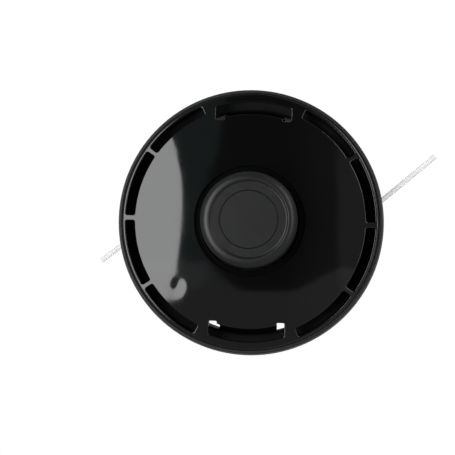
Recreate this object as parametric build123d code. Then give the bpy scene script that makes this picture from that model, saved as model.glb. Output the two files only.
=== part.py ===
from build123d import *

import os
from math import cos, pi, radians, sin, sqrt

# Tap-feed trimmer head for two ends of nylon line. Lengths are in millimetres and angles in degrees.
# The origin is on the head's axis at the hub's seat, +Z points to the ground side and +X to one eyelet.

# Moulded corners
EDGE_R = 0.6
FINE_R = 0.3
BEND_R = 2.0
HEEL_R = 4.0

# Housing: rim band, flare, drum wall and floor
RIM_D = 130.0
RIM_TAPER = 1.0
RIM_BAND_H = 8.4
RIM_NOSE_H = 1.4
RIM_LIP_W = 1.55
FLARE = 8.0
FLARE_H = 2.7
FLARE_T = 2.0
WALL = 2.4
FLOOR_Z = 2.6
FLOOR_T = 2.6
LEDGE_W = 1.8
LEDGE_DEPTH = 2.5

# Hub, post and drive nut
HUB_D = 36.0
POST_D = 24.8
POST_BORE_D = 12.0
POST_OVER = 5.0
NUT_FLATS = 17.0
NUT_H = 12.0
NUT_BORE_D = 8.64
NUT_GROOVE_D = 14.6
NUT_GROOVE_Z = 6.0
NUT_GROOVE_W = 1.5
NUT_COLLAR_H = 1.5
NUT_CHAMFER = 0.9
RIB_COUNT = 12
RIB_T = 1.6
RIB_Z = 0.8
RIB_END_INSET = 7.0

# Domed cover
COVER_FIT = 0.15
COVER_T = 2.5
COVER_EDGE_H = 3.5
COVER_EDGE_R = 1.2
COVER_LIP_W = 1.5
COVER_SEAT_DROP = 1.1
DOME_R = 265.0
SLEEVE_T = 2.4
SLEEVE_SINK = 1.3
SLOT_EDGE_R = 0.45
PLACE_TOL = 0.02
COVER_RIBS = 8
COVER_RIB_T = 1.6
COVER_RIB_RISE = 1.8

# Narrow arc slots: two groups about the X axis, four slots on each side
SLOT_INSET = 4.1
SLOT_W = 4.5
SLOT_CORNER_R = 1.0
SLOT_SPANS = ((1.3, 32.4), (34.6, 65.2))

# Latch slots, legs and hooks on the Y axis, with the floor vents under them
LATCH_SLOT_INSET = 4.3
LATCH_SLOT_DEPTH = 6.0
LATCH_SLOT_W = 36.5
LATCH_SLOT_CORNER_R = 0.6
RELIEF_DEPTH = 3.4
RELIEF_GAP = 0.2
LEG_T = 2.0
LEG_W = 28.4
LEG_CLEAR = 8.3
HOOK_H = 6.5
HOOK_NOSE_H = 3.2
HOOK_LEAD = 1.0
HOOK_PROUD = 1.2
LATCH_GAP = 0.3
LATCH_SIDE_GAP = 0.8
VENT_IN_GAP = 0.7
VENT_OUT_GAP = 2.3
VENT_IN_X = 11.5
VENT_OUT_X = 20.5

# Spool and its travel
TRAVEL = 6.0
RUN_GAP = 0.3
FLANGE_GAP = 1.5
FLANGE_T = 2.0
FLANGE_EDGE_R = 0.7
CHAMBER_H = 17.8
DIVIDER_W = 10.7
DIVIDER_T = 1.2
CORE_D = 37.0
CORE_WALL = 1.8
SHELF_DEPTH = 8.5
SHELF_T = 3.0
SHELF_EDGE_R = 0.5
BOSS_WALL = 2.5
BOSS_H = 8.0
FLANGE_SLOTS = 6
FLANGE_SLOT_INSET = 8.5
FLANGE_SLOT_W = 5.0
FLANGE_SLOT_SPAN = 34.0
NOTCH_W = 2.8
NOTCH_DEPTH = 5.0
FOLD_W = 6.5
FOLD_DEPTH = 5.5

# Cam teeth: the upper ring drives the spool, the lower ring catches it while the knob is pressed
TEETH = 8
TOOTH_GAP = 1.8
TOOTH_W = 3.8
CAM_H = 3.8
CAM_HALF_W = 5.0
CAM_SLOPE_W = 4.5
DOG_H = 3.2
DOG_HALF_W = 3.8
DOG_SLOPE_W = 2.0

# Tap button
BUTTON_D = 46.2
BUTTON_H = 26.0
BUTTON_HOLE_GAP = 1.1
BUTTON_HEM_R = 0.4
SHOULDER_R = 4.0
FACE_INSET = 5.1
FACE_DEPTH = 1.0
FACE_EDGE_W = 0.9
FACE_EDGE_R = 0.7
GROOVE_INSET = 4.2
GROOVE_W = 0.6
GROOVE_DEPTH = 0.3
BUTTON_WEAR_T = 4.6
BUTTON_WALL = 4.2
BUTTON_CAVITY_R = 3.0
BUTTON_SKIRT_T = 2.5
BUTTON_FIT = 0.1
SNAPS = 4
SNAP_W = 8.0
SNAP_H = 2.0
SNAP_OUT = 1.2
SNAP_RISE = 3.5
SNAP_FIT = 0.2

# Spring and washer
WIRE_D = 1.6
SPRING_TURNS = 5.5
WASHER_T = 1.0
WASHER_OUT_GAP = 0.4
WASHER_IN_GAP = 0.5

# Line, windings and eyelets
LINE_D = 2.4
WIND_D = 59.0
WIND_TURNS = 3
WIND_GAP = 0.1
EXIT_ANGLE = 40.0
EYELET_DROP = 1.6
EYELET_PROUD = 3.7
EYELET_LENGTH = 8.0
EYELET_BORE_D = 4.0
EYELET_BODY_D = 7.2
EYELET_HEAD_D = 9.6
EYELET_HEAD_T = 1.5
EYELET_FIT = 0.05
EYELET_MOUTH_R = 1.1
EYELET_WALL = 1.8

# Radii that follow from the values above, from the rim inwards
RIM_R = RIM_D / 2
DRUM_R = RIM_R - FLARE
COVER_R = RIM_R - RIM_TAPER - RIM_LIP_W - COVER_FIT
SLOT_R = COVER_R - SLOT_INSET
LATCH_SLOT_OUT_R = COVER_R - LATCH_SLOT_INSET
LATCH_SLOT_IN_R = LATCH_SLOT_OUT_R - LATCH_SLOT_DEPTH
LEG_OUT_R = LATCH_SLOT_IN_R
LEG_IN_R = LEG_OUT_R - LEG_T
FLANGE_R = LEG_IN_R - FLANGE_GAP
HOLE_R = BUTTON_D / 2 + BUTTON_HOLE_GAP
TOOTH_IN_R = HOLE_R + SLEEVE_T + TOOTH_GAP
TOOTH_OUT_R = TOOTH_IN_R + TOOTH_W
BOSS_R = BUTTON_D / 2 - BUTTON_SKIRT_T - BUTTON_FIT
CORE_R = CORE_D / 2
CORE_BORE_R = CORE_R - CORE_WALL
GUIDE_R = POST_D / 2 + RUN_GAP
DIVIDER_R = CORE_R + DIVIDER_W
SPRING_R = (POST_D / 2 + CORE_BORE_R) / 2

# Heights that follow from the values above, from the floor up
FLOOR_TOP_Z = FLOOR_Z + FLOOR_T
DOG_TOP_Z = FLOOR_TOP_Z + DOG_H
SPOOL_Z = DOG_TOP_Z + TRAVEL + RUN_GAP
CHAMBER_Z = SPOOL_Z + FLANGE_T
CHAMBER_TOP_Z = CHAMBER_Z + CHAMBER_H
DECK_Z = CHAMBER_TOP_Z + FLANGE_T
DIVIDER_Z = CHAMBER_Z + (CHAMBER_H - DIVIDER_T) / 2
SHELF_Z = DECK_Z - SHELF_DEPTH
POST_TOP_Z = SHELF_Z + SHELF_T + POST_OVER
CAM_ROOT_Z = DECK_Z + CAM_H + RUN_GAP
BOSS_TOP_Z = DECK_Z + BOSS_H
BUTTON_TOP_Z = DECK_Z + BUTTON_H
SNAP_Z = DECK_Z + SNAP_RISE
COVER_SEAT_Z = CAM_ROOT_Z - COVER_SEAT_DROP
DOME_EDGE_Z = COVER_SEAT_Z + COVER_EDGE_H
DOME_CENTRE_Z = DOME_EDGE_Z - sqrt(DOME_R**2 - COVER_R**2)
RIM_EDGE_Z = COVER_SEAT_Z + LEDGE_DEPTH
RIM_HIGH_Z = RIM_EDGE_Z - RIM_BAND_H
RIM_LOW_Z = RIM_HIGH_Z - RIM_NOSE_H
DRUM_TOP_Z = RIM_LOW_Z - FLARE_H
LEG_END_Z = FLOOR_TOP_Z + LEG_CLEAR
HOOK_TOP_Z = LEG_END_Z + HOOK_H

# The line leaves the winding beside its outermost turn and passes square through the drum's wall
EXIT_OFFSET = WIND_D / 2 + LINE_D / 2 + RUN_GAP
EYELET_OUT = sqrt(DRUM_R**2 - EXIT_OFFSET**2) + EYELET_PROUD
EYELET_IN = EYELET_OUT - EYELET_LENGTH
EYELET_Z = CHAMBER_Z + CHAMBER_H / 2 - EYELET_DROP
HUGE = 2 * RIM_D


def turned(*corners):
    """Solid of revolution about Z from (radius, height, corner radius) triples."""
    points = [(radius, height) for radius, height, _ in corners]
    outline = FilletPolyline(*points, radius=[corner for _, _, corner in corners], close=True)
    return revolve(Plane.XZ * make_face(outline), Axis.Z)


def tube(inner_r, outer_r, low_z, high_z):
    """Plain ring between two radii and two heights."""
    return turned((inner_r, low_z, 0), (outer_r, low_z, 0), (outer_r, high_z, 0), (inner_r, high_z, 0))


def disc(radius, low_z, high_z):
    """Plain cylinder between two heights."""
    return Pos(0, 0, low_z) * extrude(Circle(radius), high_z - low_z)


def block(low, high):
    """Box between two opposite corners."""
    size = [b - a for a, b in zip(low, high)]
    return Pos(*low) * Box(*size, align=(Align.MIN, Align.MIN, Align.MIN))


def around(shape, count, first=0.0):
    """Copies of a shape, evenly turned about Z."""
    return [Rot(0, 0, first + index * 360 / count) * shape for index in range(count)]


def dome_z(radius, depth=0.0):
    """Height of the cover's top surface, or of the surface a depth below it, at a radius."""
    return DOME_CENTRE_Z + sqrt((DOME_R - depth) ** 2 - radius**2)


def teeth(root_z, root, tip_z, tip, first):
    """Ring of teeth with one upright and one sloped flank. root and tip are (low, high) across the tooth."""
    outline = Polyline((root[0], root_z), (root[1], root_z), (tip[1], tip_z), (tip[0], tip_z), close=True)
    radial = Plane(origin=(0, 0, 0), x_dir=(0, 1, 0), z_dir=(1, 0, 0))
    tooth = extrude(radial * make_face(outline), TOOTH_OUT_R + WALL)
    low, high = sorted((root_z, tip_z))
    return around(tooth & tube(TOOTH_IN_R, TOOTH_OUT_R, low, high), TEETH, first)


def latch_sides(width, low_z, high_z):
    """Two blocks on the Y axis that keep what lies within a latch's width."""
    half = block((-width / 2, 0, low_z), (width / 2, HUGE, high_z))
    return half + Rot(0, 0, 180) * half


def exit_plane(along, side):
    """Plane square to a line's exit, a distance along it from where the line leaves the winding."""
    turn = EXIT_ANGLE + side
    direction = Vector(cos(radians(turn)), sin(radians(turn)), 0)
    start = Vector(sin(radians(turn)), -cos(radians(turn)), 0) * EXIT_OFFSET
    return Plane(origin=start + direction * along + Vector(0, 0, EYELET_Z), z_dir=direction)


def make_nut():
    """Left-hand M10 x 1.25 nut, moulded in at its groove and centred in the post's bore by a round collar.

    Its bore is the thread's minor diameter.
    """
    shoulder_z = NUT_H - NUT_COLLAR_H
    hexagon = extrude(RegularPolygon(NUT_FLATS / 2, 6, major_radius=False), shoulder_z)
    turned_blank = turned(
        (0, 0, 0),
        (NUT_FLATS / 2, 0, 0),
        (NUT_FLATS / 2 + 2 * NUT_CHAMFER, NUT_CHAMFER, 0),
        (NUT_FLATS / 2 + 2 * NUT_CHAMFER, shoulder_z, 0),
        (0, shoulder_z, 0),
    )
    groove = tube(NUT_GROOVE_D / 2, NUT_FLATS, NUT_GROOVE_Z, NUT_GROOVE_Z + NUT_GROOVE_W)
    collar = disc(POST_BORE_D / 2, shoulder_z, NUT_H)
    return (hexagon & turned_blank) - groove + collar - disc(NUT_BORE_D / 2, 0, NUT_H)


def housing_shell():
    """Drum, flared rim, floor, hub and post as one turned section."""
    inner_r = DRUM_R - WALL
    rim_in_r = COVER_R + COVER_FIT
    ledge_r = rim_in_r - LEDGE_W
    post_bore_z = NUT_H - NUT_COLLAR_H
    return turned(
        (0, 0, 0),
        (HUB_D / 2, 0, EDGE_R),
        (HUB_D / 2, FLOOR_Z, EDGE_R),
        (DRUM_R, FLOOR_Z, HEEL_R),
        (DRUM_R, DRUM_TOP_Z, BEND_R),
        (RIM_R, RIM_LOW_Z, EDGE_R),
        (RIM_R, RIM_HIGH_Z, EDGE_R),
        (RIM_R - RIM_TAPER, RIM_EDGE_Z, EDGE_R),
        (rim_in_r, RIM_EDGE_Z, FINE_R),
        (rim_in_r, COVER_SEAT_Z, 0),
        (ledge_r, COVER_SEAT_Z, FINE_R),
        (ledge_r, RIM_LOW_Z + WALL, BEND_R),
        (inner_r, DRUM_TOP_Z + FLARE_T, BEND_R),
        (inner_r, FLOOR_TOP_Z, BEND_R),
        (POST_D / 2, FLOOR_TOP_Z, EDGE_R),
        (POST_D / 2, POST_TOP_Z, EDGE_R),
        (POST_BORE_D / 2, POST_TOP_Z, FINE_R),
        (POST_BORE_D / 2, post_bore_z, 0),
        (0, post_bore_z, 0),
    )


def eyelet_boss(side):
    """Moulded sleeve that carries one eyelet, square to the line."""
    boss_r = EYELET_BODY_D / 2 + EYELET_FIT + EYELET_WALL
    return exit_plane(EYELET_IN, side) * extrude(Circle(boss_r), EYELET_LENGTH)


def eyelet_seat(side):
    """Bore for one eyelet's body, with the clear space for its head and for the line outside."""
    bore = exit_plane(EYELET_IN - WALL, side) * extrude(Circle(EYELET_BODY_D / 2 + EYELET_FIT), RIM_R / 2)
    head = exit_plane(EYELET_OUT, side) * extrude(Circle(EYELET_HEAD_D / 2 + RUN_GAP), RIM_R / 2)
    return bore + head


def make_housing():
    """Moulded drum with ribs, hub, post, lower catch teeth, latch windows and eyelet bosses."""
    rib_end_r = DRUM_R - RIB_END_INSET
    rib = block((POST_D / 2 + WALL, -RIB_T / 2, RIB_Z), (rib_end_r, RIB_T / 2, FLOOR_Z + FLOOR_T / 2))
    dogs = teeth(
        FLOOR_TOP_Z,
        (-DOG_HALF_W, DOG_HALF_W + DOG_SLOPE_W),
        DOG_TOP_Z,
        (-DOG_HALF_W, DOG_HALF_W),
        180 / TEETH,
    )
    window_w = LEG_W + 2 * LATCH_SIDE_GAP
    window_low_z = LEG_END_Z - LATCH_SIDE_GAP
    window_high_z = HOOK_TOP_Z + LATCH_GAP
    window = tube(LEG_OUT_R, RIM_R, window_low_z, window_high_z)
    vent = tube(LEG_IN_R - VENT_IN_GAP, LEG_OUT_R + VENT_OUT_GAP, 0, DOG_TOP_Z)
    vents = latch_sides(2 * VENT_OUT_X, 0, DOG_TOP_Z) - latch_sides(2 * VENT_IN_X, 0, DOG_TOP_Z)
    shell = housing_shell() + around(rib, RIB_COUNT, 180 / RIB_COUNT) + dogs
    shell += [eyelet_boss(side) for side in (0, 180)]
    shell -= [eyelet_seat(side) for side in (0, 180)]
    shell -= window & latch_sides(window_w, window_low_z, window_high_z)
    shell -= vent & vents
    return shell - (make_nut() + disc(NUT_BORE_D / 2, 0, NUT_H))


def cover_plate():
    """Dome of even thickness with its outer lip, the sunk sleeve round the knob and the cam ring."""
    sleeve_r = HOLE_R + SLEEVE_T
    stations = (sleeve_r, (sleeve_r + COVER_R) / 2, COVER_R)
    top = ThreePointArc(*[(r, dome_z(r)) for r in stations])
    under = ThreePointArc(*[(r, dome_z(r, COVER_T)) for r in stations])
    ends = [Line(top @ 0, under @ 0), Line(top @ 1, under @ 1)]
    plate = revolve(Plane.XZ * make_face([top, under, *ends]), Axis.Z)
    lip = tube(COVER_R - COVER_LIP_W, COVER_R, COVER_SEAT_Z, dome_z(COVER_R, COVER_T / 2))
    sleeve = turned(
        (HOLE_R, CAM_ROOT_Z, 0),
        (TOOTH_IN_R, CAM_ROOT_Z, 0),
        (TOOTH_IN_R, dome_z(TOOTH_IN_R, (SLEEVE_SINK + COVER_T) / 2), 0),
        (sleeve_r, dome_z(sleeve_r, (SLEEVE_SINK + COVER_T) / 2), 0),
        (sleeve_r, dome_z(sleeve_r, SLEEVE_SINK), 0),
        (HOLE_R, dome_z(sleeve_r, SLEEVE_SINK), FINE_R),
    )
    ring = tube(TOOTH_IN_R, TOOTH_OUT_R, CAM_ROOT_Z, dome_z(TOOTH_OUT_R, COVER_T / 2))
    return plate + lip + sleeve + ring


def arc_slots():
    """Sketch of the eight narrow slots, mirrored about both axes, each with flat ends and small corners."""
    ring = Circle(SLOT_R + SLOT_W / 2) - Circle(SLOT_R - SLOT_W / 2)
    slots = []
    for start, end in SLOT_SPANS:
        sides = [(HUGE * cos(radians(turn)), HUGE * sin(radians(turn))) for turn in (start, end)]
        sector = make_face(Polyline((0, 0), *sides, close=True))
        slot = ring & sector
        slot = fillet(slot.vertices(), SLOT_CORNER_R)
        right_side = [slot, slot.mirror(Plane.XZ)]
        slots += right_side + [other.mirror(Plane.YZ) for other in right_side]
    return slots


def latch_slots():
    """Sketch of the two wide slots over the latch hooks, with straight ends and a relief beside each leg."""
    middle_r = (LATCH_SLOT_OUT_R + LATCH_SLOT_IN_R) / 2
    past_leg = Rectangle(LATCH_SLOT_W, HUGE) - Rectangle(LEG_W + 2 * RELIEF_GAP, HUGE)
    relief = Circle(middle_r) - Rectangle(HUGE, 2 * (LATCH_SLOT_IN_R - RELIEF_DEPTH))
    ring = Circle(LATCH_SLOT_OUT_R) - Circle(LATCH_SLOT_IN_R)
    slots = (ring & Rectangle(LATCH_SLOT_W, HUGE)) + (relief & past_leg)
    return fillet(slots.vertices(), LATCH_SLOT_CORNER_R)


def cover_ribs():
    """Radial ribs under the dome, from the cam ring to the latch legs."""
    low = (TOOTH_OUT_R - WALL / 4, -COVER_RIB_T / 2, CAM_ROOT_Z + COVER_RIB_RISE)
    rib = block(low, (LEG_IN_R, COVER_RIB_T / 2, BUTTON_TOP_Z))
    under_dome = Pos(0, 0, DOME_CENTRE_Z) * Sphere(DOME_R - COVER_T / 2)
    return around(rib & under_dome, COVER_RIBS, 180 / COVER_RIBS)


def latch_leg():
    """Both latch legs, each with the hook that catches in the housing's window."""
    leg = tube(LEG_IN_R, LEG_OUT_R, LEG_END_Z, dome_z(LEG_OUT_R, COVER_T / 2))
    middle_r = (LEG_IN_R + LEG_OUT_R) / 2
    hook_r = DRUM_R + HOOK_PROUD
    hook = turned(
        (middle_r, LEG_END_Z, 0),
        (LEG_OUT_R + HOOK_LEAD, LEG_END_Z, FINE_R),
        (hook_r, HOOK_TOP_Z - HOOK_NOSE_H, FINE_R),
        (hook_r, HOOK_TOP_Z, FINE_R),
        (middle_r, HOOK_TOP_Z, 0),
    )
    return (leg + hook) & latch_sides(LEG_W, 0, BUTTON_TOP_Z)


def on_dome(edge):
    """Whether an edge of the cover lies where a slot or the knob's hole breaks through the dome's top."""
    middle = edge @ 0.5
    radius = sqrt(middle.X**2 + middle.Y**2)
    return radius < SLOT_R + SLOT_W / 2 + SLOT_EDGE_R and abs(middle.Z - dome_z(radius)) < PLACE_TOL


def make_cover():
    """Slotted dome with latch legs outside the spool and cam teeth under its centre."""
    plate = cover_plate()
    for sketch in [*arc_slots(), latch_slots()]:
        plate -= Pos(0, 0, COVER_SEAT_Z) * extrude(sketch, BUTTON_TOP_Z - COVER_SEAT_Z)
    plate = fillet([edge for edge in plate.edges() if on_dome(edge)], SLOT_EDGE_R)
    rim = [edge for edge in plate.edges() if abs((edge @ 0.5).Z - dome_z(COVER_R)) < PLACE_TOL]
    plate = fillet([edge for edge in rim if edge.geom_type == GeomType.CIRCLE], COVER_EDGE_R)
    cams = teeth(
        CAM_ROOT_Z,
        (-CAM_HALF_W - CAM_SLOPE_W, CAM_HALF_W),
        DECK_Z + RUN_GAP,
        (-CAM_HALF_W, CAM_HALF_W),
        180 / TEETH,
    )
    return plate + latch_leg() + cams + cover_ribs()


def spool_body():
    """Core, two flanges, divider, inner shelf and the boss that carries the button."""
    boss_in_r = BOSS_R - BOSS_WALL
    return turned(
        (CORE_BORE_R, SPOOL_Z, 0),
        (FLANGE_R, SPOOL_Z, FLANGE_EDGE_R),
        (FLANGE_R, CHAMBER_Z, FLANGE_EDGE_R),
        (CORE_R, CHAMBER_Z, 0),
        (CORE_R, DIVIDER_Z, 0),
        (DIVIDER_R, DIVIDER_Z, FINE_R),
        (DIVIDER_R, DIVIDER_Z + DIVIDER_T, FINE_R),
        (CORE_R, DIVIDER_Z + DIVIDER_T, 0),
        (CORE_R, CHAMBER_TOP_Z, 0),
        (FLANGE_R, CHAMBER_TOP_Z, FLANGE_EDGE_R),
        (FLANGE_R, DECK_Z, FLANGE_EDGE_R),
        (BOSS_R, DECK_Z, 0),
        (BOSS_R, BOSS_TOP_Z, EDGE_R),
        (boss_in_r, BOSS_TOP_Z, EDGE_R),
        (boss_in_r, DECK_Z, FINE_R),
        (CORE_BORE_R, DECK_Z, FINE_R),
        (CORE_BORE_R, SHELF_Z + SHELF_T, EDGE_R),
        (GUIDE_R, SHELF_Z + SHELF_T, SHELF_EDGE_R),
        (GUIDE_R, SHELF_Z, SHELF_EDGE_R),
        (CORE_BORE_R, SHELF_Z, 0),
    )


def snap_blocks(out_r, gap):
    """Snap nubs round the spool's boss, or their windows in the button when a gap is given."""
    half = SNAP_W / 2 + gap
    nub = block((BOSS_R - BOSS_WALL / 5, -half, SNAP_Z - gap), (out_r, half, SNAP_Z + SNAP_H + gap))
    return around(nub, SNAPS, 180 / SNAPS)


def make_spool():
    """Spool with drive teeth above, catch teeth below, flange slots and notches for the line."""
    arc = CenterArc((0, 0), FLANGE_R - FLANGE_SLOT_INSET, -FLANGE_SLOT_SPAN / 2, FLANGE_SLOT_SPAN)
    slot = Pos(0, 0, SPOOL_Z) * extrude(SlotArc(arc, FLANGE_SLOT_W), DECK_Z - SPOOL_Z)
    notch = block((FLANGE_R - NOTCH_DEPTH, -NOTCH_W / 2, SPOOL_Z), (RIM_R, NOTCH_W / 2, DECK_Z))
    fold = block((-FOLD_W / 2, DIVIDER_R - FOLD_DEPTH, CHAMBER_Z), (FOLD_W / 2, DIVIDER_R, CHAMBER_TOP_Z))
    cams = teeth(
        DECK_Z,
        (-CAM_HALF_W, CAM_HALF_W),
        DECK_Z + CAM_H,
        (-CAM_HALF_W, CAM_HALF_W - CAM_SLOPE_W),
        0,
    )
    dogs = teeth(
        SPOOL_Z,
        (-DOG_HALF_W, DOG_HALF_W + DOG_SLOPE_W),
        SPOOL_Z - DOG_H + RUN_GAP,
        (-DOG_HALF_W, DOG_HALF_W),
        0,
    )
    spool = spool_body() - around(slot, FLANGE_SLOTS) - around(notch, 2) - fold
    return spool + cams + dogs + snap_blocks(BOSS_R + SNAP_OUT, 0)


def make_button():
    """Knob with a rounded shoulder, a recessed face with a fine ring, and a skirt over the boss."""
    outer_r = BUTTON_D / 2
    face_r = outer_r - FACE_INSET
    face_z = BUTTON_TOP_Z - FACE_DEPTH
    groove_r = face_r - GROOVE_INSET
    skirt_in_r = BOSS_R + BUTTON_FIT
    cavity_r = outer_r - BUTTON_WALL
    cavity_z = face_z - BUTTON_WEAR_T
    step_z = BOSS_TOP_Z + 2 * RUN_GAP
    knob = turned(
        (skirt_in_r, DECK_Z, 0),
        (outer_r, DECK_Z, BUTTON_HEM_R),
        (outer_r, BUTTON_TOP_Z, SHOULDER_R),
        (face_r + FACE_EDGE_W, BUTTON_TOP_Z, FACE_EDGE_R),
        (face_r, face_z, FACE_EDGE_R),
        (groove_r + GROOVE_W / 2, face_z, 0),
        (groove_r, face_z - GROOVE_DEPTH, 0),
        (groove_r - GROOVE_W / 2, face_z, 0),
        (0, face_z, 0),
        (0, cavity_z, 0),
        (cavity_r, cavity_z, BUTTON_CAVITY_R),
        (cavity_r, step_z, 0),
        (skirt_in_r, step_z, 0),
    )
    return knob - snap_blocks(outer_r + SNAP_OUT, SNAP_FIT)


def make_spring():
    """Compression spring between the housing's floor and the washer."""
    rise = SHELF_Z - WASHER_T - FLOOR_TOP_Z - WIRE_D
    coil = Helix(rise / SPRING_TURNS, rise, SPRING_R)
    section = Plane(origin=coil @ 0, z_dir=coil % 0) * Circle(WIRE_D / 2)
    return Pos(0, 0, FLOOR_TOP_Z + WIRE_D / 2) * sweep(section, path=coil)


def make_washer():
    """Flat steel washer between the spring and the spool's shelf."""
    inner_r = POST_D / 2 + WASHER_IN_GAP
    return tube(inner_r, CORE_BORE_R - WASHER_OUT_GAP, SHELF_Z - WASHER_T, SHELF_Z)


def make_winding(chamber_low_z, chamber_high_z):
    """Outer shape of the turns in one chamber, with the round of each turn on its outside."""
    middle_z = (chamber_low_z + chamber_high_z) / 2
    low_z = middle_z - WIND_TURNS * LINE_D / 2
    turn_r = WIND_D / 2 - LINE_D / 2
    inner_r = CORE_R + WIND_GAP
    pack = tube(inner_r, turn_r, low_z, low_z + WIND_TURNS * LINE_D)
    for turn in range(WIND_TURNS):
        centre = (turn_r, low_z + (turn + 0.5) * LINE_D)
        pack += revolve(Plane.XZ * Pos(*centre) * Circle(LINE_D / 2), Axis.Z)
    return pack


def make_eyelet(side):
    """Metal ferrule with a rounded mouth at each end and a head outside the boss."""
    bore_r = EYELET_BORE_D / 2
    body_r = EYELET_BODY_D / 2
    ferrule = turned(
        (bore_r, 0, EYELET_MOUTH_R),
        (body_r, 0, FINE_R),
        (body_r, EYELET_LENGTH, 0),
        (EYELET_HEAD_D / 2, EYELET_LENGTH, FINE_R),
        (EYELET_HEAD_D / 2, EYELET_LENGTH + EYELET_HEAD_T, EDGE_R),
        (bore_r, EYELET_LENGTH + EYELET_HEAD_T, EYELET_MOUTH_R),
    )
    return exit_plane(EYELET_IN, side) * ferrule


def line_tail(points):
    """One free end of the line as straight runs and tangent arcs, with its radii and volume printed."""
    route = [Vector(*point) for point in points]
    runs = [b - a for a, b in zip(route, route[1:])]
    corner_radii = []
    for before, after in zip(runs, runs[1:]):
        half_turn = radians(before.get_angle(after) / 2)
        shorter = min(before.length, after.length)
        corner_radii.append(0.45 * shorter * cos(half_turn) / sin(half_turn))
    path = FilletPolyline(*route, radius=corner_radii)
    tail = sweep(Plane(origin=route[0], z_dir=runs[0]) * Circle(LINE_D / 2), path=path)
    plain_volume = pi * LINE_D**2 / 4 * path.length
    print("line arcs", [round(radius) for radius in corner_radii], "length", round(path.length, 1))
    print("line volume over plain volume", round(tail.volume / plain_volume, 5))
    return tail


# Routes of the two free ends, from the winding out through the eyelet
RIGHT_ROUTE = ((19.93, -23.75, 25.7), (42.6, -4.8, 24.2), (67.9, 16.6, 24.0), (89.5, 35.9, 24.1))
LEFT_ROUTE = ((-19.93, 23.75, 25.7), (-37.6, 8.9, 24.3), (-57.9, -8.2, 24.0), (-73.9, -20.9, 23.8))

NODES = {
    "housing": make_housing,
    "drive_nut": make_nut,
    "cover": make_cover,
    "spool": make_spool,
    "tap_button": make_button,
    "spring": make_spring,
    "spring_washer": make_washer,
    "eyelet_right": lambda: make_eyelet(0),
    "eyelet_left": lambda: make_eyelet(180),
    "line_winding_lower": lambda: make_winding(CHAMBER_Z, DIVIDER_Z),
    "line_winding_upper": lambda: make_winding(DIVIDER_Z + DIVIDER_T, CHAMBER_TOP_Z),
    "line_tail_right": lambda: line_tail(RIGHT_ROUTE),
    "line_tail_left": lambda: line_tail(LEFT_ROUTE),
}

os.makedirs("parts", exist_ok=True)
for name, make in NODES.items():
    export_step(make(), f"parts/{name}.step")
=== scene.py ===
from math import atan2, cos, hypot, pi, radians, sin

import bpy
from mathutils import Matrix, Vector


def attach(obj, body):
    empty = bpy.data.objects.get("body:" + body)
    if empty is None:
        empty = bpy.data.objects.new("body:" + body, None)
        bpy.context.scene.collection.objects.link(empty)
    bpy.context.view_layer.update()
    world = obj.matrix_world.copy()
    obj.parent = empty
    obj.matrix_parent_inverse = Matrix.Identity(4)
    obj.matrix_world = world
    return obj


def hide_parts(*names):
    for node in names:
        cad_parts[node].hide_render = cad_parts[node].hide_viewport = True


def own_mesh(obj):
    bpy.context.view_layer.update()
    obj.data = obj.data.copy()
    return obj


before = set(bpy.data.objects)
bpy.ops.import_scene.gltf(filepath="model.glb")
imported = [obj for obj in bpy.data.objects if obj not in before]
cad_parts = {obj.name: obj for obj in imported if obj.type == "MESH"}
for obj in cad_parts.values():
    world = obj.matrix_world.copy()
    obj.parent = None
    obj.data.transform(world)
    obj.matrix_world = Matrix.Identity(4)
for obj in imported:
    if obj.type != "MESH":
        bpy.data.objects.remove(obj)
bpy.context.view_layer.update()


# Drive nut
# A zinc plated steel nut with an M10 x 1.25 left-hand thread, which the hub is moulded round.
# It takes the machine's shaft, so its thread and its turned end face show from behind.

class Signal:
    """One output of a shader node, so that masks and heights are written as plain arithmetic."""

    def __init__(self, nodes, socket):
        self.nodes = nodes
        self.socket = socket

    def math(self, operation, *values):
        return self.nodes.node("ShaderNodeMath", {"operation": operation}, dict(enumerate(values)))

    def __add__(self, other):
        return self.math("ADD", self, other)

    def __radd__(self, other):
        return self.math("ADD", other, self)

    def __sub__(self, other):
        return self.math("SUBTRACT", self, other)

    def __rsub__(self, other):
        return self.math("SUBTRACT", other, self)

    def __mul__(self, other):
        return self.math("MULTIPLY", self, other)

    def __rmul__(self, other):
        return self.math("MULTIPLY", other, self)

    def __truediv__(self, other):
        return self.math("DIVIDE", self, other)

    def __neg__(self):
        return self.math("MULTIPLY", self, -1)

    def __pow__(self, other):
        return self.math("POWER", self, other)

    def sine(self):
        return self.math("SINE", self)

    def exponent(self):
        return self.math("EXPONENT", self)


class Nodes:
    """A node tree that is written from its first texture to its last shader."""

    def __init__(self, tree):
        self.tree = tree

    def node(self, kind, settings=None, inputs=None, output=0):
        """Adds a node: its settings first, then a value or a signal on each named input."""
        made = self.tree.nodes.new(kind)
        for label, value in (settings or {}).items():
            setattr(made, label, value)
        for label, value in (inputs or {}).items():
            if isinstance(value, Signal):
                self.tree.links.new(value.socket, made.inputs[label])
            else:
                made.inputs[label].default_value = value
        return Signal(self, made.outputs[output]) if made.outputs else None

    def parts(self, vector):
        """The three components of a vector."""
        return [self.node("ShaderNodeSeparateXYZ", {}, {0: vector}, axis) for axis in range(3)]

    def ramp(self, value, low, high):
        """Rises smoothly from 0 to 1 while a value goes from low to high."""
        settings = {"interpolation_type": "SMOOTHSTEP"}
        inputs = {"Value": value, "From Min": low, "From Max": high}
        return self.node("ShaderNodeMapRange", settings, inputs)


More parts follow.
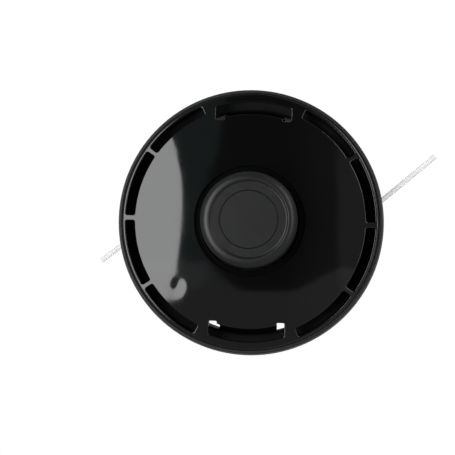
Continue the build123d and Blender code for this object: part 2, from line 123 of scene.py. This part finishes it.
class Finish(Nodes):
    """A procedural surface finish: one principled shader and the nodes that vary it.

    The roughness given is about the average of what is fed over it.
    """

    def __init__(self, name, colour, roughness, metallic=0.0, **constants):
        self.material = bpy.data.materials.new(name)
        self.material.use_nodes = True
        super().__init__(self.material.node_tree)
        self.shader = self.tree.nodes["Principled BSDF"]
        self.shader.inputs["Base Color"].default_value = (*colour, 1)
        self.shader.inputs["Roughness"].default_value = roughness
        self.shader.inputs["Metallic"].default_value = metallic
        for word, value in constants.items():
            label = word.replace("_", " ").title().replace("Ior", "IOR")
            self.shader.inputs[label].default_value = value

    def place(self):
        """Where a point of the surface lies in the head, in metres."""
        return self.node("ShaderNodeTexCoord", output="Object")

    def noise(self, scale, detail=2.0, at=None):
        """Noise from 0 to 1, with about scale features in a metre."""
        at = at or self.place()
        inputs = {"Vector": at, "Scale": scale, "Detail": detail}
        return self.node("ShaderNodeTexNoise", {}, inputs)

    def axis_distance(self):
        """Distance from the head's axis, in metres."""
        x, y, _ = self.parts(self.place())
        return (x * x + y * y) ** 0.5

    def feed(self, label, signal):
        """Lets a signal vary one input of the shader."""
        self.tree.links.new(signal.socket, self.shader.inputs[label])

    def bump(self, height, metres, strength=1.0):
        """Bumps the surface by a height of which 1 stands for a real depth in metres."""
        inputs = {"Height": height, "Distance": metres, "Strength": strength}
        return self.node("ShaderNodeBump", {}, inputs)

    def cover(self, *names):
        """Gives the finish to CAD nodes."""
        for name in names:
            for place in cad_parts[name].material_slots:
                place.material = self.material


TOOL_MARK_PITCH = 0.00022

zinc = Finish("zinc plate", (0.55, 0.54, 0.52), roughness=0.32, metallic=1.0)
tool_marks = (zinc.axis_distance() * (2 * pi / TOOL_MARK_PITCH)).sine()
zinc.feed("Roughness", 0.22 + 0.2 * zinc.noise(900))
zinc_relief = zinc.noise(4000) + 0.3 * tool_marks
zinc.feed("Normal", zinc.bump(zinc_relief, metres=0.000015, strength=0.5))

NUT_H = 0.012
THREAD_PITCH = 0.00125
THREAD_TURNS = 12
THREAD_FACETS = 64
THREAD_IN_R = 0.00432
THREAD_OUT_R = 0.005
MOUTH_R = 0.00535
END_TOLERANCE = 1e-6
BORE_TOLERANCE = 1e-5
MERGE_DISTANCE = 1e-7


def alone(piece):
    """Leaves one piece selected and active."""
    bpy.ops.object.select_all(action="DESELECT")
    piece.select_set(True)
    bpy.context.view_layer.objects.active = piece


def on_end(vertex):
    """Whether a vertex of the nut lies in one of its two end faces."""
    return min(abs(vertex.co.z), abs(vertex.co.z - NUT_H)) < END_TOLERANCE


def in_bore(vertex):
    """Whether a vertex of the nut lies on the wall of its bore."""
    return hypot(vertex.co.x, vertex.co.y) < THREAD_IN_R + BORE_TOLERANCE


def turned_thread():
    """Left-hand thread surface, cut off at the nut's two ends and opened to a chamfer at each.

    Each step of its profile is a share of the thread's depth, and how far along the pitch
    that share is reached, in millimetres.
    """
    steps = (
        (0, 0), (0, 0.12), (0.5, 0.34), (1, 0.56), (1, 0.69), (0.5, 0.91), (0, 1.13), (0, 1.25),
    )
    profile = [
        (THREAD_IN_R + depth * (THREAD_OUT_R - THREAD_IN_R), 0, mm / 1000 - THREAD_PITCH)
        for depth, mm in steps
    ]
    mesh = bpy.data.meshes.new("thread")
    mesh.from_pydata(profile, [(index, index + 1) for index in range(len(profile) - 1)], [])
    thread = bpy.data.objects.new("thread", mesh)
    bpy.context.scene.collection.objects.link(thread)
    alone(thread)
    screw = thread.modifiers.new("screw", "SCREW")
    screw.angle = -2 * pi
    screw.screw_offset = THREAD_PITCH
    screw.iterations = THREAD_TURNS
    screw.steps = screw.render_steps = THREAD_FACETS
    screw.use_merge_vertices = True
    screw.merge_threshold = MERGE_DISTANCE
    bpy.ops.object.modifier_apply(modifier="screw")
    bpy.ops.object.mode_set(mode="EDIT")
    for height, low in ((0, True), (NUT_H, False)):
        bpy.ops.mesh.select_all(action="SELECT")
        bpy.ops.mesh.bisect(
            plane_co=(0, 0, height), plane_no=(0, 0, 1), clear_inner=low, clear_outer=not low
        )
    bpy.ops.mesh.select_all(action="SELECT")
    bpy.ops.mesh.remove_doubles(threshold=MERGE_DISTANCE)
    bpy.ops.mesh.normals_make_consistent(inside=True)
    bpy.ops.object.mode_set(mode="OBJECT")
    for vertex in thread.data.vertices:
        vertex.co.z = min(max(vertex.co.z, 0), NUT_H)
        radius = hypot(vertex.co.x, vertex.co.y)
        opened = max(radius, MOUTH_R - vertex.co.z, MOUTH_R - NUT_H + vertex.co.z) / radius
        vertex.co.x *= opened
        vertex.co.y *= opened
    return thread


nut = bpy.data.objects.new("threaded_nut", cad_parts["drive_nut"].data.copy())
bpy.context.scene.collection.objects.link(nut)
alone(nut)
bpy.ops.object.mode_set(mode="EDIT")
bpy.ops.mesh.select_all(action="SELECT")
bpy.ops.mesh.remove_doubles(threshold=MERGE_DISTANCE)
bpy.ops.mesh.select_all(action="DESELECT")
bpy.ops.object.mode_set(mode="OBJECT")
for face in nut.data.polygons:
    corners = [nut.data.vertices[index] for index in face.vertices]
    face.select = all(map(on_end, corners)) or all(map(in_bore, corners))
bpy.ops.object.mode_set(mode="EDIT")
bpy.ops.mesh.delete(type="FACE")
for end in (0, NUT_H):
    bpy.ops.mesh.select_all(action="DESELECT")
    bpy.ops.object.mode_set(mode="OBJECT")
    ring = [vertex for vertex in nut.data.vertices if abs(vertex.co.z - end) < END_TOLERANCE]
    inward = MOUTH_R / max(hypot(vertex.co.x, vertex.co.y) for vertex in ring)
    for vertex in ring:
        vertex.select = True
    for edge in nut.data.edges:
        edge.select = all(nut.data.vertices[index].select for index in edge.vertices)
    bpy.ops.object.mode_set(mode="EDIT")
    bpy.ops.mesh.extrude_edges_move()
    bpy.ops.transform.resize(value=(inward, inward, 1), center_override=(0, 0, end))
bpy.ops.object.mode_set(mode="OBJECT")
thread = turned_thread()
alone(nut)
thread.select_set(True)
bpy.ops.object.join()
bpy.ops.object.shade_smooth_by_angle(angle=radians(32))
nut.data.materials.clear()
nut.data.materials.append(zinc.material)
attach(nut, "head")
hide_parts("drive_nut")


# Housing
# Black glass-filled nylon, moulded in one piece with its hub, post and ribs. The die is
# spark eroded, which leaves a fine satin grain.

housing_plastic = Finish(
    "housing nylon", (0.007, 0.007, 0.0073), roughness=0.46, specular_ior_level=0.4
)
eroded_grain = housing_plastic.noise(5200, detail=3.0)
housing_plastic.feed("Roughness", 0.4 + 0.14 * housing_plastic.noise(140))
housing_plastic.feed("Normal", housing_plastic.bump(eroded_grain, metres=0.00003, strength=0.5))
housing_plastic.cover("housing")


# Eyelets
# Turned aluminium ferrules, pressed into the two bosses of the drum's wall, so that the
# running line doesn't cut the plastic.

turned_metal = Finish("turned aluminium", (0.62, 0.62, 0.6), roughness=0.3, metallic=1.0)
turned_metal.feed("Roughness", 0.22 + 0.2 * turned_metal.noise(2500))
turned_metal.cover("eyelet_right", "eyelet_left")


# Compression spring
# Drawn spring steel wire, wound cold, with its ends closed and ground flat. It stands on the
# housing's floor, and the washer above it presses it shorter when the knob is bumped.

SPRING_LOW = 0.0052
SPRING_HIGH = 0.027
SPRING_R = 0.01465
SPRING_WIRE_D = 0.0016
GROUND_WIRE = 0.3
END_TURNS = 1
OPEN_TURNS = 4.5
SPRING_POINTS_A_TURN = 24

spring_steel = Finish("spring steel", (0.42, 0.42, 0.44), roughness=0.3, metallic=1.0)
spring_steel.feed("Roughness", 0.22 + 0.2 * spring_steel.noise(1500))


def wound_spring(name):
    """Round wire on a helix, whose two end turns lie close.

    GROUND_WIRE is what grinding leaves of the wire beyond its middle, as a share of its diameter.
    """
    turns = END_TURNS + OPEN_TURNS + END_TURNS
    low = SPRING_LOW + GROUND_WIRE * SPRING_WIRE_D
    high = SPRING_HIGH - GROUND_WIRE * SPRING_WIRE_D
    curve = bpy.data.curves.new(name, "CURVE")
    curve.dimensions = "3D"
    curve.bevel_depth = SPRING_WIRE_D / 2
    curve.bevel_resolution = 4
    curve.use_fill_caps = True
    curve.resolution_u = 3
    spline = curve.splines.new("NURBS")
    spline.points.add(int(SPRING_POINTS_A_TURN * turns))
    for index, point in enumerate(spline.points):
        turn = index / SPRING_POINTS_A_TURN
        closed = SPRING_WIRE_D * (min(turn, END_TURNS) + max(0, turn - END_TURNS - OPEN_TURNS))
        opened = min(max(turn - END_TURNS, 0), OPEN_TURNS) / OPEN_TURNS
        height = low + closed + opened * (high - low - 2 * END_TURNS * SPRING_WIRE_D)
        angle = 2 * pi * turn
        point.co = (SPRING_R * cos(angle), SPRING_R * sin(angle), height, 1)
    spline.order_u = 3
    spline.use_endpoint_u = True
    piece = bpy.data.objects.new(name, curve)
    bpy.context.scene.collection.objects.link(piece)
    alone(piece)
    bpy.ops.object.convert(target="MESH")
    for vertex in piece.data.vertices:
        vertex.co.z = min(max(vertex.co.z, SPRING_LOW), SPRING_HIGH)
    bpy.ops.object.shade_smooth_by_angle(angle=radians(40))
    piece.data.materials.append(spring_steel.material)
    return piece


spring = wound_spring("wound_spring")
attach(spring, "head")
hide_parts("spring")
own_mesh(spring)


# Spring washer
# Punched steel, zinc plated as the nut is. It lies between the spring's end and the spool, so
# that the wire doesn't dig into the plastic.

zinc.cover("spring_washer")


# Spool
# Black nylon, moulded with its two flanges, divider and teeth. It slides on the housing's post,
# and four nubs on its boss snap into windows of the knob.

spool_plastic = Finish("spool nylon", (0.018, 0.018, 0.018), roughness=0.42)
spool_plastic.feed("Roughness", 0.36 + 0.14 * spool_plastic.noise(200))
spool_plastic.cover("spool")


# Line
# Clear extruded nylon, 2.4 mm thick. It is wound on the spool, and its two ends leave through
# the eyelets and are cut off square.

LINE_D = 0.0024
RIGHT_ROUTE = (
    (0.01993, -0.02375, 0.0257),
    (0.0426, -0.0048, 0.0242),
    (0.0679, 0.0166, 0.024),
    (0.0895, 0.0359, 0.0241),
)
LEFT_ROUTE = (
    (-0.01993, 0.02375, 0.0257),
    (-0.0376, 0.0089, 0.0243),
    (-0.0579, -0.0082, 0.024),
    (-0.0739, -0.0209, 0.0238),
)

line_nylon = Finish(
    "line nylon", (0.95, 0.96, 0.955), roughness=0.35, transmission_weight=0.7
)
line_nylon.feed("Roughness", 0.32 + 0.06 * line_nylon.noise(220))


def line_end(name, route, node):
    """One free end of line on a smooth curve through its route."""
    curve = bpy.data.curves.new(name, "CURVE")
    curve.dimensions = "3D"
    curve.bevel_depth = LINE_D / 2
    curve.bevel_resolution = 6
    curve.use_fill_caps = True
    curve.resolution_u = 24
    spline = curve.splines.new("NURBS")
    spline.points.add(len(route) - 1)
    for point, place in zip(spline.points, route):
        point.co = (*place, 1)
    spline.order_u = 3
    spline.use_endpoint_u = True
    curve.materials.append(line_nylon.material)
    piece = bpy.data.objects.new(name, curve)
    bpy.context.scene.collection.objects.link(piece)
    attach(piece, "head")
    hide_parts(node)


line_end("line_end_right", RIGHT_ROUTE, node="line_tail_right")
line_end("line_end_left", LEFT_ROUTE, node="line_tail_left")

LAYERS = 4
ROWS = 3
OUTER_TURN_R = 0.0283
POINTS_A_TURN = 18
CROSSING = 0.15


def wound_line(name, middle_z, leave, node):
    """Line wound in rows and layers, whose outer end crosses over to where a free end leaves.

    CROSSING is the share of a turn in which the line moves over to the next row or layer.
    """
    turns = LAYERS * ROWS
    last = atan2(leave[1], leave[0])
    stops = []
    for turn in range(turns):
        layer, step = divmod(turn, ROWS)
        row = step if layer % 2 == 0 else ROWS - 1 - step
        turn_r = OUTER_TURN_R - (LAYERS - 1 - layer) * LINE_D
        stops.append((turn_r, middle_z + (row - (ROWS - 1) / 2) * LINE_D))
    stops.append((hypot(leave[0], leave[1]), leave[2]))
    curve = bpy.data.curves.new(name, "CURVE")
    curve.dimensions = "3D"
    curve.bevel_depth = LINE_D / 2
    curve.bevel_resolution = 3
    curve.resolution_u = 3
    spline = curve.splines.new("NURBS")
    spline.points.add(turns * POINTS_A_TURN)
    for index, point in enumerate(spline.points):
        turn, part = divmod(index / POINTS_A_TURN, 1)
        here, after = stops[int(turn)], stops[min(int(turn) + 1, turns)]
        share = max(0, (part - 1 + CROSSING) / CROSSING)
        radius = here[0] + share * (after[0] - here[0])
        height = here[1] + share * (after[1] - here[1])
        angle = last - 2 * pi * (turns - index / POINTS_A_TURN)
        point.co = (radius * cos(angle), radius * sin(angle), height, 1)
    spline.order_u = 3
    spline.use_endpoint_u = True
    curve.materials.append(line_nylon.material)
    piece = bpy.data.objects.new(name, curve)
    bpy.context.scene.collection.objects.link(piece)
    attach(piece, "spool_set")
    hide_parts(node)


wound_line(
    "wound_line_upper", middle_z=0.03035, leave=RIGHT_ROUTE[0], node="line_winding_upper"
)
wound_line(
    "wound_line_lower", middle_z=0.02085, leave=LEFT_ROUTE[0], node="line_winding_lower"
)


# Cover
# Glossy black nylon, moulded against a polished die and held by its two latch legs. Flow and
# shrinkage leave the dome slightly wavy, with a swell and a sink over one leg.

COVER_EDGE_FROM_R = 0.0603
COVER_EDGE_TO_R = 0.061
LATCH_LIE = radians(243)


def swell(finish, middle, lie, long, wide, height):
    """Shallow oval swell in a moulded face, or a sink where the height is negative, in metres."""
    x, y, _ = finish.parts(finish.place())
    x, y = x - middle[0], y - middle[1]
    down = (cos(lie) * x + sin(lie) * y) / long
    across = (cos(lie) * y - sin(lie) * x) / wide
    return height * (-0.5 * (down * down + across * across)).exponent()


cover_plastic = Finish("cover nylon", (0.0025, 0.0025, 0.0026), roughness=0.05)
long_waves = cover_plastic.noise(30, detail=0.5)
short_waves = cover_plastic.noise(90, detail=1.0)
waves = 0.0003 * long_waves + 0.00001 * short_waves
latch_swell = swell(
    cover_plastic, middle=(-0.0262, -0.037), lie=LATCH_LIE, long=0.0055, wide=0.005,
    height=0.00024,
)
latch_sink = swell(
    cover_plastic, middle=(-0.0335, -0.0318), lie=LATCH_LIE, long=0.0022, wide=0.002,
    height=-0.00007,
)
cover_edge = cover_plastic.ramp(cover_plastic.axis_distance(), COVER_EDGE_FROM_R, COVER_EDGE_TO_R)
handling = cover_plastic.noise(260, detail=4.0)
cover_plastic.feed("Normal", cover_plastic.bump(waves + latch_swell + latch_sink, metres=1.0))
cover_plastic.feed("Roughness", 0.03 + 0.05 * handling + 0.1 * cover_edge)
cover_plastic.cover("cover")


# Tap button
# Matt black nylon that slides on the ground. Turning its die left fine rings, and handling has
# scuffed it a little along them.

DIE_RING_PITCH = 0.0007
SCUFFS_ROUND = 3
SCUFFS_A_METRE = 1400
MIDDLE_R = 0.0001

knob_plastic = Finish(
    "knob nylon", (0.0065, 0.0065, 0.0067), roughness=0.4, specular_ior_level=0.4
)
turning = (knob_plastic.axis_distance() * (2 * pi / DIE_RING_PITCH)).sine()
knob_x, knob_y, _ = knob_plastic.parts(knob_plastic.place())
knob_r = knob_plastic.axis_distance() + MIDDLE_R
round_way = knob_plastic.node(
    "ShaderNodeCombineXYZ",
    {},
    {
        0: SCUFFS_ROUND * knob_x / knob_r,
        1: SCUFFS_ROUND * knob_y / knob_r,
        2: SCUFFS_A_METRE * knob_r,
    },
)
scuffs = knob_plastic.ramp(knob_plastic.noise(1, detail=3.0, at=round_way), low=0.55, high=0.75)
grain = knob_plastic.noise(3800, detail=3.0)
knob_relief = 0.25 * turning + grain + 0.5 * scuffs
wear = knob_plastic.noise(320, detail=4.0)
knob_plastic.feed("Normal", knob_plastic.bump(knob_relief, metres=0.000012, strength=0.5))
knob_plastic.feed("Roughness", 0.35 + 0.12 * wear + 0.08 * scuffs)
knob_plastic.cover("tap_button")


# Camera
# The photograph looks down on the ground side from well back. It is turned a little, and taken
# from a little off the axis, so it is set by those two angles and the pixel of the head's centre.

ROLL = radians(2)
LEAN = radians(4)
LEAN_WAY = radians(-43)
CAMERA_DISTANCE = 0.75
FOCAL_PIXELS = 1552
PICTURE_PIXELS = 455
SENSOR_MM = 36
HEAD_CENTRE = Vector((0, 0, 0.044))
HEAD_PIXEL = (249.95, 221.25)

right = Vector((cos(ROLL), sin(ROLL), 0))
up = Vector((-sin(ROLL), cos(ROLL), 0))
lean_side = cos(LEAN_WAY) * right + sin(LEAN_WAY) * up
to_camera = cos(LEAN) * Vector((0, 0, 1)) + sin(LEAN) * lean_side
view_up = (up - up.dot(to_camera) * to_camera).normalized()
view_right = view_up.cross(to_camera)
metres_per_pixel = CAMERA_DISTANCE / FOCAL_PIXELS
target = HEAD_CENTRE
target = target - (HEAD_PIXEL[0] - PICTURE_PIXELS / 2) * metres_per_pixel * view_right
target = target + (HEAD_PIXEL[1] - PICTURE_PIXELS / 2) * metres_per_pixel * view_up
camera_data = bpy.data.cameras.new("camera")
camera_data.sensor_width = SENSOR_MM
camera_data.lens = FOCAL_PIXELS * SENSOR_MM / PICTURE_PIXELS
camera = bpy.data.objects.new("camera", camera_data)
bpy.context.scene.collection.objects.link(camera)
camera.matrix_world = Matrix.Translation(target + CAMERA_DISTANCE * to_camera) @ Matrix(
    (view_right, view_up, to_camera)
).transposed().to_4x4()
bpy.context.scene.camera = camera


# Studio
# A white lit floor, a long soft light on each side, a low one for the edges at the upper right
# and a dim room, as the photograph's reflections show them.

FLOOR_SIZE = 6
FLOOR_GAP = 0.0002
FLOOR_BOUNCE = 0.4
LOWEST_RISE = 0.05
ROOM_GREY = 0.02

bpy.context.scene.view_settings.view_transform = "Standard"

bpy.ops.mesh.primitive_plane_add(size=FLOOR_SIZE, location=(0, 0, -FLOOR_GAP))
floor = bpy.context.object
floor.name = "floor"
floor_light = bpy.data.materials.new("floor")
floor_light.use_nodes = True
glow = Nodes(floor_light.node_tree)
glow.tree.nodes.clear()
looked_at = glow.node("ShaderNodeLightPath", output="Is Camera Ray")
looked_through = glow.node("ShaderNodeLightPath", output="Is Transmission Ray")
seen = looked_at + looked_through
strength = FLOOR_BOUNCE + (1 - FLOOR_BOUNCE) * seen.math("MINIMUM", seen, 1)
shine = glow.node("ShaderNodeEmission", {}, {"Strength": strength})
clear = glow.node("ShaderNodeBsdfTransparent")
behind = glow.node("ShaderNodeNewGeometry", output="Backfacing")
both = glow.node("ShaderNodeMixShader", {}, {0: behind, 1: shine, 2: clear})
glow.node("ShaderNodeOutputMaterial", {}, {"Surface": both})
floor.data.materials.append(floor_light)

# The room's walls are zones of the sky, placed by how far they lie aside and along for each
# metre overhead.
world = bpy.data.worlds.new("room")
bpy.context.scene.world = world
world.use_nodes = True
room = Nodes(world.node_tree)
room.tree.nodes.clear()
way_x, way_y, way_z = room.parts(room.node("ShaderNodeTexCoord", output="Generated"))
overhead = way_z.math("MAXIMUM", way_z, LOWEST_RISE)
aside = way_x / overhead
along = way_y / overhead
front_edge = 0.245 - 0.115 * room.ramp(aside, 0.15, 0.42) - 0.1 * room.ramp(-aside, 0.05, 0.26)
front_wall = 0.23 * room.ramp(-along - front_edge, -0.012, 0.012)
left_edge = 0.27 - 0.07 * room.ramp(along, 0.17, 0.36) - 0.07 * room.ramp(-along, 0.06, 0.2)
left_wall = room.ramp(-aside - left_edge, -0.03, 0.015) * (1 - room.ramp(-along, 0.16, 0.24))
right_wall = 0.05 * room.ramp(aside, 0.1, 0.3) + 0.15 * room.ramp(aside, 0.34, 0.38)
grey = ROOM_GREY + front_wall + right_wall
tint = room.node(
    "ShaderNodeCombineXYZ",
    {},
    {0: grey + 0.1 * left_wall, 1: grey + 0.15 * left_wall, 2: grey + 0.14 * left_wall},
)
dim = room.node("ShaderNodeBackground", {}, {"Color": tint})
pale = room.node("ShaderNodeBackground", {}, {"Color": (1, 1, 1, 1)})
looked_at = room.node("ShaderNodeLightPath", output="Is Camera Ray")
room_seen = room.node("ShaderNodeMixShader", {}, {0: looked_at, 1: dim, 2: pale})
room.node("ShaderNodeOutputWorld", {}, {"Surface": room_seen})


def soft_light(name, place, size, radiance):
    """Oval soft light over the head that shows evenly bright in its gloss.

    Its power is pi times its radiance for each square metre of the ellipse.
    """
    light = bpy.data.lights.new(name, "AREA")
    light.shape = "ELLIPSE"
    light.size, light.size_y = size
    light.energy = radiance * pi * pi / 4 * size[0] * size[1]
    lamp = bpy.data.objects.new(name, light)
    bpy.context.scene.collection.objects.link(lamp)
    lamp.location = place


soft_light("left light", place=(-0.912, 0.05, 1), size=(1.1, 1.6), radiance=5.9)
soft_light("right light", place=(0.95, 0.35, 0.9), size=(0.5, 1.3), radiance=4.5)
soft_light("edge light", place=(0.85, 0.7, 0.45), size=(0.6, 0.8), radiance=4.5)
